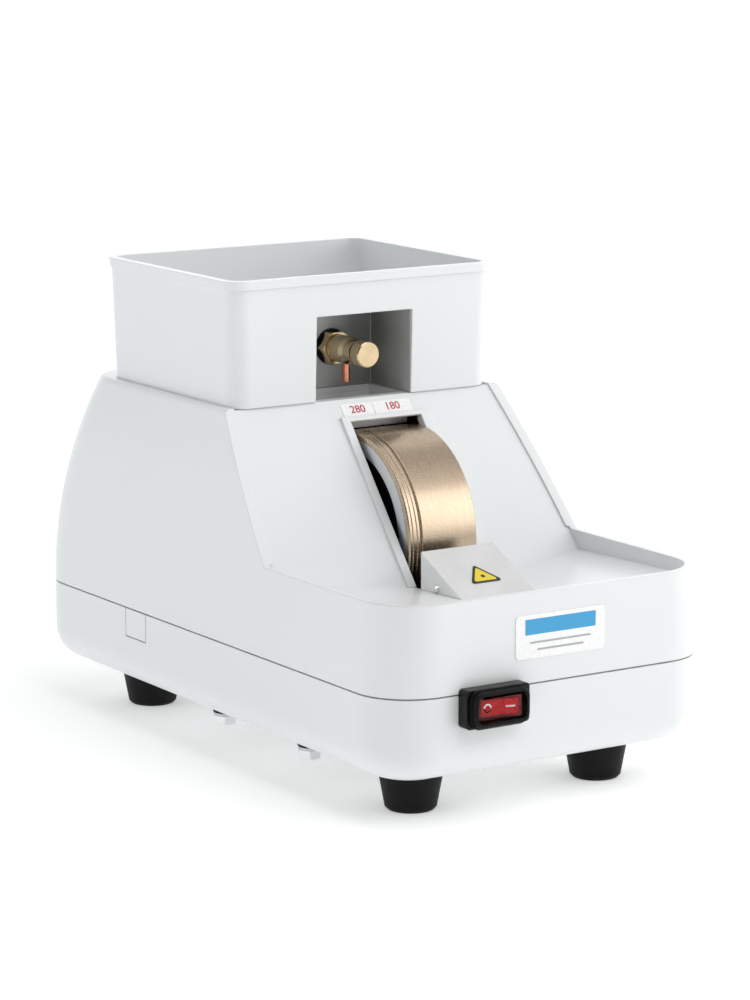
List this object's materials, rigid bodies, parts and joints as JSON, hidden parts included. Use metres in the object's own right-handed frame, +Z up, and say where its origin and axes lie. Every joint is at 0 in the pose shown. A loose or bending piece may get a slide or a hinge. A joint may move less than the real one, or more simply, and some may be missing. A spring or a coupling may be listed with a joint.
{
  "type": "wet grinder",
  "caption": "Bench wet grinder: moulded case on rubber feet, diamond wheel in a sloped face over a catch tray, lift-out water tank with needle valve, rocker switch.",
  "frame": {"origin": "on the bench, under the middle of the case", "axes": "+X to the right, +Y towards the back (the switch is on the -Y face), +Z up"},
  "size_m": [0.1834, 0.3592, 0.2323],
  "materials": {
    "case_plastic": "semi-gloss moulded, light cool grey",
    "tank_plastic": "semi-gloss moulded, light cool grey",
    "foot_rubber": "matte black",
    "black_rubber": "matte black",
    "zinc_steel": "zinc plated",
    "chrome_steel": "bright plated",
    "stainless": "satin stainless sheet",
    "shaft_steel": "ground",
    "lamination": "stacked laminations",
    "winding_copper": "varnished copper wire",
    "cast_aluminium": "machined casting",
    "motor_paint": "dark satin paint",
    "bronze_bond_fine": "bronze-bonded fine grit",
    "bronze_bond_coarse": "bronze-bonded coarse grit",
    "brass": "turned",
    "copper": "drawn copper",
    "black_plastic": "moulded black",
    "clear_cap": "clear soft cap",
    "red_rocker": "translucent red",
    "hose_rubber": "black hose",
    "lead_sleeve": "black sleeving",
    "label_white": "printed film",
    "label_yellow": "printed film"
  },
  "bodies": {
    "case": {"bearing_front": "chrome_steel", "bearing_rear": "chrome_steel", "cable_gland": "black_plastic", "capacitor": "black_plastic", "capacitor_clip": "zinc_steel", "case_screws": "zinc_steel", "drain_hose": "hose_rubber", "drain_spigot": "black_plastic", "drip_funnel": "case_plastic", "end_bell_front": "cast_aluminium", "end_bell_rear": "cast_aluminium", "foot_front_left": "foot_rubber", "foot_front_right": "foot_rubber", "foot_rear_left": "foot_rubber", "foot_rear_right": "foot_rubber", "foot_screws": "zinc_steel", "grit_label_coarse": "label_white", "grit_label_fine": "label_white", "guard_screws": "chrome_steel", "lower_housing": "case_plastic", "motor_bolts": "chrome_steel", "motor_bracket": "zinc_steel", "motor_case": "motor_paint", "motor_isolators": "black_rubber", "motor_leads": "lead_sleeve", "motor_nuts": "chrome_steel", "motor_washers": "zinc_steel", "nameplate": "label_white", "shaft_seal": "black_rubber", "side_clips": "case_plastic", "slot_frame": "case_plastic", "splash_housing": "black_plastic", "splash_screws": "zinc_steel", "stator_core": "lamination", "stator_windings": "winding_copper", "switch_body": "black_plastic", "switch_boot": "black_rubber", "switch_cap": "clear_cap", "switch_leads": "lead_sleeve", "switch_plate": "black_plastic", "terminal_block": "black_plastic", "upper_housing": "case_plastic", "warning_plate": "label_yellow", "wheel_guard": "stainless"},
    "spindle": {"motor_shaft": "shaft_steel", "rotor_core": "lamination", "slinger_disc": "black_rubber", "wheel_flanges": "cast_aluminium", "wheel_core": "cast_aluminium", "wheel_band_fine": "bronze_bond_fine", "wheel_band_coarse": "bronze_bond_coarse", "wheel_nut": "chrome_steel"},
    "tank": {"water_tank": "tank_plastic", "valve_washer": "black_rubber", "valve_body": "brass", "valve_locknut": "brass", "drip_tube": "copper"},
    "needle": {"valve_needle": "brass"},
    "knob": {"valve_knob": "brass"},
    "rocker": {"switch_rocker": "red_rocker"}
  },
  "joints": [
    {"name": "spindle_spin", "type": "hinge", "parent": "case", "child": "spindle", "pos_m": [0, -0.0116, 0.1057], "axis": [1, 0, 0], "continuous": true},
    {"name": "tank_lift", "type": "slide", "parent": "case", "child": "tank", "axis": [0, 0, 1], "range_m": [0, 0.08]},
    {"name": "valve_travel", "type": "slide", "parent": "tank", "child": "needle", "axis": [0, -1, 0], "range_m": [0, 0.0016]},
    {"name": "valve_turn", "type": "hinge", "parent": "needle", "child": "knob", "pos_m": [0.0036, 0, 0.1909], "axis": [0, -1, 0], "range_deg": [0, 720]},
    {"name": "switch_press", "type": "hinge", "parent": "case", "child": "rocker", "pos_m": [-0.038, -0.1726, 0.0563], "axis": [0, 0, 1], "range_deg": [0, 18]}
  ],
  "couplings": [
    {"joint": "valve_travel", "follows": "valve_turn", "m_per_rad": 0.000127}
  ]
}
